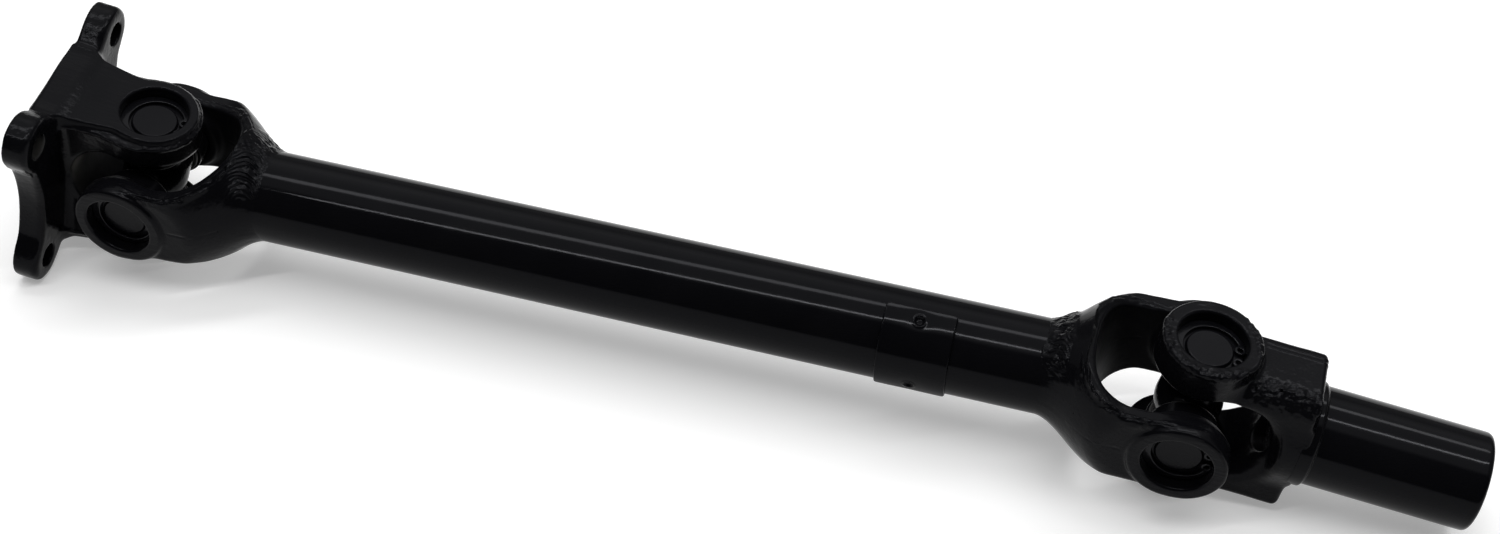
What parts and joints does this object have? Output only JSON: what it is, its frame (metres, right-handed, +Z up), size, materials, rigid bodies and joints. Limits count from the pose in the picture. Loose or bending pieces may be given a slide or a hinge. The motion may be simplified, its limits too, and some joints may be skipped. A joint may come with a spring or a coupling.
{
  "type": "universal joint shaft",
  "caption": "Driveshaft tube with a cardan joint at each end, one carrying a bolted flange yoke and the other an internally splined slip yoke.",
  "frame": {"origin": "on the ground under the middle of the shaft as it lies with its tube level", "axes": "+X along the tube from the flange end to the slip end, +Z up"},
  "size_m": [0.5982, 0.0896, 0.0874],
  "materials": {
    "forging_paint": "gloss",
    "tube_paint": "gloss",
    "clip_steel": "satin",
    "needle_steel": "satin",
    "seal_rubber": "matte"
  },
  "bodies": {
    "shaft_assembly": {"shaft_tube": "tube_paint", "front_tube_yoke": "forging_paint", "rear_tube_yoke": "forging_paint", "front_weld": "forging_paint", "rear_weld": "forging_paint", "balance_weight": "tube_paint", "front_left_cup": "forging_paint", "front_left_circlip": "clip_steel", "front_left_seal": "seal_rubber", "front_left_needles": "needle_steel", "front_right_cup": "forging_paint", "front_right_circlip": "clip_steel", "front_right_seal": "seal_rubber", "front_right_needles": "needle_steel", "rear_left_cup": "forging_paint", "rear_left_circlip": "clip_steel", "rear_left_seal": "seal_rubber", "rear_left_needles": "needle_steel", "rear_right_cup": "forging_paint", "rear_right_circlip": "clip_steel", "rear_right_seal": "seal_rubber", "rear_right_needles": "needle_steel"},
    "front_spider": {"front_cross": "forging_paint"},
    "flange_end": {"flange_yoke": "forging_paint", "front_top_cup": "forging_paint", "front_top_circlip": "clip_steel", "front_top_seal": "seal_rubber", "front_top_needles": "needle_steel", "front_bottom_cup": "forging_paint", "front_bottom_circlip": "clip_steel", "front_bottom_seal": "seal_rubber", "front_bottom_needles": "needle_steel"},
    "rear_spider": {"rear_cross": "forging_paint"},
    "slip_end": {"slip_yoke": "forging_paint", "slip_yoke_plug": "forging_paint", "rear_top_cup": "forging_paint", "rear_top_circlip": "clip_steel", "rear_top_seal": "seal_rubber", "rear_top_needles": "needle_steel", "rear_bottom_cup": "forging_paint", "rear_bottom_circlip": "clip_steel", "rear_bottom_seal": "seal_rubber", "rear_bottom_needles": "needle_steel"}
  },
  "joints": [
    {"name": "front_pitch", "type": "hinge", "parent": "shaft_assembly", "child": "front_spider", "pos_m": [-0.24843, 0, 0.03808], "axis": [0, 1, 0], "range_deg": [-31.3, 12.7]},
    {"name": "front_swing", "type": "hinge", "parent": "front_spider", "child": "flange_end", "pos_m": [-0.24843, 0, 0.03808], "axis": [0.1616, 0, 0.9869], "range_deg": [-23.95, 20.05]},
    {"name": "rear_pitch", "type": "hinge", "parent": "shaft_assembly", "child": "rear_spider", "pos_m": [0.18577, 0, 0.03808], "axis": [0, 1, 0], "range_deg": [-27.82, 16.18]},
    {"name": "rear_swing", "type": "hinge", "parent": "rear_spider", "child": "slip_end", "pos_m": [0.18577, 0, 0.03808], "axis": [0.1014, 0, 0.9948], "range_deg": [-22, 22]}
  ]
}
